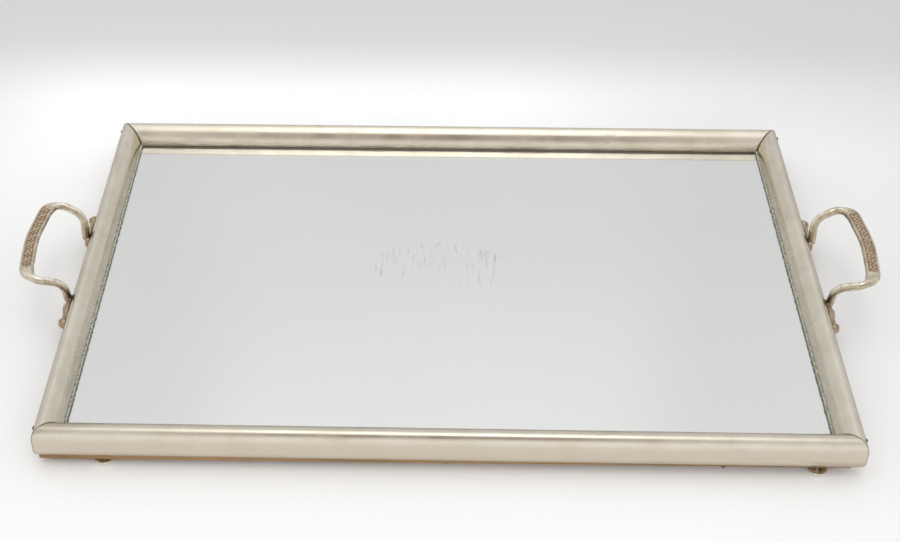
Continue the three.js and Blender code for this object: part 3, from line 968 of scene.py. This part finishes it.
def carve(mesh, sign):
    """Carves the grip's leaf work and the foot plates' veins; returns patina and a painted highlight
    along the tops of the rods.
    """
    places = vertex_vectors(mesh.vertices, len(mesh.vertices), "co") / MM
    normals = vertex_vectors(mesh.vertex_normals, len(mesh.vertices), "vector")
    centres, run, up, across = handle_line(800)
    nearest = nearest_stations(places, centres)
    offset = places - centres[nearest]
    wide = np.sum(offset * across[nearest], axis=1)
    along = (run - run[-1] / 2)[nearest]
    facing = np.sum(normals * up[nearest], axis=1)
    on_top = smoothstep(facing, 0.55, 0.85) * (np.sum(offset * up[nearest], axis=1) > 0.5)
    border = np.maximum(np.abs(wide) - PANEL_HALF_WIDTH,
                        np.abs(along + sign * PANEL_SHIFT) - PANEL_HALF_LENGTH)
    inside = on_top * (1 - smoothstep(border, -0.45, 0.05))
    relief = vine(along, wide)
    drop = inside * (PANEL_DEPTH - 0.5 * relief)

    # Veins run slantwise over the outward side of each foot plate, but not over its tip.
    out, sideways, level = places[:, 0], np.abs(places[:, 1]), np.abs(places[:, 2])
    on_plate = (sideways > PLATE_ROOT) * (level < 4.6) * (out < 5.8)
    outward = smoothstep(normals[:, 0], 0.3, 0.8) * on_plate
    reach = sideways - PLATE_ROOT
    vein = np.abs(np.sin((reach - 0.9 * level) * np.pi / VEIN_PITCH))
    groove = outward * (1 - smoothstep(vein, 0.0, 0.45)) * smoothstep(reach, 3.0, 6.0)
    groove = groove * (1 - smoothstep(sideways, PLATE_TIP - 5, PLATE_TIP - 3.5))
    drop = drop + 0.28 * groove
    places = places - normals * drop[:, None]
    mesh.vertices.foreach_set("co", (places * MM).ravel())
    mesh.update()

    out, height = places[:, 0], places[:, 2]
    foot = (1 - smoothstep(height, 2.0, 9.0)) * 0.55 + smoothstep(-height, 1.0, 4.5) * 0.25
    panel = inside * (0.92 - 0.80 * relief)
    patina = np.clip(np.maximum(panel, np.maximum(0.75 * groove, foot)), 0, 1)
    # Painted highlight: the upward-facing tops of the higher rods, outside the panel and fading over
    # the grip.
    painted_top_highlight = smoothstep(facing, 0.80, 0.98) * smoothstep(height, 8.0, 16.0)
    painted_top_highlight = painted_top_highlight * (1 - on_top * (border < 1.0)) * (1 - 0.75 * smoothstep(out, 17.0, 23.0))
    return patina, np.clip(painted_top_highlight, 0, 1)


def handle(side, sign):
    points, faces = [], []
    for rings in (rod_rings(), *(make(end) for end in (-1, 1) for make in (plate_rings, boss_rings))):
        faces += capped_faces(len(points), len(rings), len(rings[0]))
        points += [point * MM for ring in rings for point in ring]
    rough = new_object("rough_handle", points, faces, [BRONZE])
    fix_normals(rough)
    cast = remeshed(rough, f"{side}_handle_casting")
    patina, painted_top_highlight = carve(cast.data, sign)
    mark(cast, "patina", patina)
    mark(cast, "painted_top_highlight", painted_top_highlight)
    # Both castings are fused and carved in one place, then moved out to their own sides.
    low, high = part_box(f"{side}_handle")
    move = Matrix.Translation(Vector((HALF_LENGTH, 0.0, GLASS_TOP)) * MM)
    spin = Matrix.Rotation(0.0 if sign > 0 else math.pi, 4, "Z")
    cast.data.transform(Matrix.Translation((0, (low.y + high.y) / 2, 0)) @ spin @ move)
    cast.data.shade_smooth()
    if not cast.data.materials:
        cast.data.materials.append(BRONZE)
    stand_for(cast, f"{side}_handle")


handle("left", -1)
handle("right", 1)


# ---- CAD nodes that keep their shape ----
def finish_node(node, material, bevel):
    """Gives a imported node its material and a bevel, in millimetres."""
    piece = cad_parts[node]
    piece.data.materials.clear()
    piece.data.materials.append(material)
    ease = piece.modifiers.new("eased_edges", "BEVEL")
    ease.width = bevel * MM
    ease.segments = 2
    ease.limit_method = "ANGLE"
    ease.angle_limit = math.radians(60)


BOARD_GAPS = [(0.0, 0.0), (-3.4, 2.4), (-3.0, 0.0), (0.0, -0.8)]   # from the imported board's corners
BOARD_EASE = 0.35
BOARD_STEPS = 60         # along each side


def board_outline(low, high):
    """The outline of a board cut a little small and askew, with worn corners and an uneven saw cut."""
    square = [(low.x, low.y), (high.x, low.y), (high.x, high.y), (low.x, high.y)]
    corners = [(x + dx, y + dy) for (x, y), (dx, dy) in zip(square, BOARD_GAPS)]
    outline = []
    for (ax, ay), (bx, by) in zip(corners, corners[1:] + corners[:1]):
        length = math.hypot(bx - ax, by - ay)
        nx, ny = -(by - ay) / length, (bx - ax) / length
        for step in range(BOARD_STEPS):
            t = step / BOARD_STEPS
            corner = max(0.0, 1 - min(t, 1 - t) * length / 2.0)
            saw = 1 + math.sin(length * t / 11.0 + ax) * math.sin(length * t / 3.7)
            inward = 0.7 * corner ** 2 + 0.12 * saw
            outline.append((ax + (bx - ax) * t + nx * inward, ay + (by - ay) * t + ny * inward))
    return outline


def backing_board():
    low, high, _ = size_of("backing_board")
    outline = board_outline(low, high)
    levels = [(BOARD_EASE, low.z), (0.0, low.z + BOARD_EASE), (0.0, high.z - BOARD_EASE),
              (BOARD_EASE, high.z)]
    points = []
    for inset, level in levels:
        for x, y in outline:
            points.append(((x - math.copysign(inset, x)) * MM, (y - math.copysign(inset, y)) * MM,
                           level * MM))
    faces = capped_faces(0, len(levels), len(outline))
    piece = new_object("plywood_back", points, faces, [BOARD_WOOD])
    sharpen(piece, 35)
    stand_for(piece, "backing_board")


backing_board()
finish_node("packing_card", CARD, 0.2)
for side in ("front", "right", "back", "left"):
    finish_node(f"{side}_core", CORE_WOOD, 0.15)


# ---- Floor, world and lights ----
# Painted shade greys for the floor's sides, far corners and back.
SIDE_SHADE_GREY = (0.78, 0.785, 0.80)
CORNER_SHADE_GREY = (0.70, 0.705, 0.72)
FAR_SHADE_GREY = (0.655, 0.66, 0.67)


def floor_look():
    look = Look("pale_floor")
    fine = look.noise(look.place, 240.0, 4.0, 0.6)
    wide = look.noise(look.place, 1.7, 2.0)
    clouds = look.ramp(wide, (0.3, (0.925, 0.935, 0.955)), (0.7, (0.945, 0.955, 0.975)))
    grain = look.ramp(fine, (0.3, (0.91, 0.92, 0.94)), (0.7, (0.95, 0.96, 0.98)))
    colour = look.mix(0.3, clouds, grain)

    # It turns grey towards the back, the sides and the far corners: painted shade, standing in for the
    # fall-off of the studio light.
    x, y, _ = look.split(look.place)
    far = look.range(y, 0.20, 0.31)
    left = look.range(x, -0.20, -0.36)
    right = look.times(look.range(x, 0.10, 0.36), look.range(y, -0.26, 0.05, 0.45, 1.0))
    colour = look.tinted(colour, left, 0.45, SIDE_SHADE_GREY)
    colour = look.tinted(colour, right, 0.70, SIDE_SHADE_GREY)
    left_corner = look.times(look.range(x, -0.26, -0.40), look.range(y, 0.10, 0.20))
    right_corner = look.times(look.range(x, 0.02, 0.16), look.range(y, 0.14, 0.22))
    colour = look.tinted(colour, left_corner, 0.7, CORNER_SHADE_GREY)
    colour = look.tinted(colour, right_corner, 0.42, CORNER_SHADE_GREY)
    colour = look.mix(far, colour, FAR_SHADE_GREY)
    look.set("Base Color", colour)
    look.set("Roughness", 0.7)
    look.set("Specular IOR Level", 0.2)
    return look.material


def make_floor():
    reach, cells = 4.0, 24       # half its side in metres, and its faces along a side
    places = [reach * (2 * step / cells - 1) for step in range(cells + 1)]
    points = [(x, y, 0.0) for y in places for x in places]
    corners = [row * (cells + 1) + column for row in range(cells) for column in range(cells)]
    faces = [(a, a + 1, a + cells + 2, a + cells + 1) for a in corners]
    floor = new_object("floor", points, faces, [floor_look()])


# Brightness of the studio round the tray's long axis: 0 is level with the backdrop, 0.25 is
# straight up and 0.5 is level behind the camera. The middle has a ceiling panel and the dark
# room behind the camera, and gives way to the sides between two slants to left or right.
SIDES_START = 0.10
SIDES_END = 0.19
STUDIO_MIDDLE = [
    (0.00, (0.70, 0.70, 0.705)), (0.085, (0.68, 0.685, 0.68)), (0.11, (0.775, 0.78, 0.775)),
    (0.14, (0.92, 0.925, 0.92)), (0.18, (1.15, 1.15, 1.12)), (0.24, (2.0, 1.99, 1.92)),
    (0.315, (1.9, 1.88, 1.80)), (0.34, (0.60, 0.56, 0.53)), (0.362, (0.37, 0.315, 0.30)),
    (0.42, (0.36, 0.305, 0.285)), (0.455, (0.80, 0.77, 0.73)), (0.50, (1.02, 1.00, 0.97)),
]
STUDIO_SIDES = [
    (0.00, (0.76, 0.76, 0.76)), (0.085, (0.68, 0.68, 0.68)), (0.11, (0.725, 0.725, 0.725)),
    (0.135, (0.79, 0.79, 0.79)), (0.20, (0.88, 0.88, 0.87)), (0.27, (0.92, 0.91, 0.885)),
    (0.33, (0.84, 0.82, 0.79)), (0.42, (0.82, 0.80, 0.77)), (0.50, (0.98, 0.96, 0.93)),
]


def make_world():
    world = bpy.data.worlds.new("studio")
    bpy.context.scene.world = world
    world.use_nodes = True
    sky = Graph(world.node_tree)
    x, y, z = sky.split(sky.add("ShaderNodeTexCoord").outputs["Generated"])
    turn = sky.calculate("DIVIDE", sky.calculate("ARCTAN2", z, y), 2 * math.pi)
    to_left = sky.range(x, -SIDES_START, -SIDES_END)
    to_right = sky.range(x, SIDES_START, SIDES_END)
    aside = sky.calculate("MAXIMUM", to_left, to_right)
    colour = sky.mix(aside, sky.ramp(turn, *STUDIO_MIDDLE), sky.ramp(turn, *STUDIO_SIDES))
    background = world.node_tree.nodes["Background"]
    sky.put(background.inputs["Color"], colour)
    background.inputs["Strength"].default_value = 1.0


WHITE = (1.0, 1.0, 1.0)
WARM_WHITE = (1.0, 0.995, 0.98)


def area_light(name, place, target, size, power, colour=WHITE, spread=180.0):
    """A soft light in metres and watts, which lights matt things but isn't seen or mirrored itself."""
    data = bpy.data.lights.new(name, "AREA")
    data.shape = "RECTANGLE"
    data.size, data.size_y = size
    data.energy = power
    data.color = colour
    data.spread = math.radians(spread)
    light = bpy.data.objects.new(name, data)
    bpy.context.scene.collection.objects.link(light)
    light.location = place
    light.rotation_euler = (Vector(target) - Vector(place)).to_track_quat("-Z", "Y").to_euler()
    for way in ("camera", "glossy", "transmission"):
        setattr(light, f"visible_{way}", False)


make_floor()
make_world()
area_light("front_fill", (0.1, -1.9, 0.75), (0.0, -0.35, 0.0), (2.4, 0.5), 12.0, WARM_WHITE)
area_light("back_wash", (-0.10, 0.215, 0.55), (-0.10, 0.21, 0.0), (0.62, 0.03), 0.06, spread=40.0)
area_light("overhead", (0.0, 0.0, 1.8), (0.0, 0.0, 0.0), (1.6, 1.6), 1.9)
bpy.context.scene.view_settings.view_transform = "Standard"
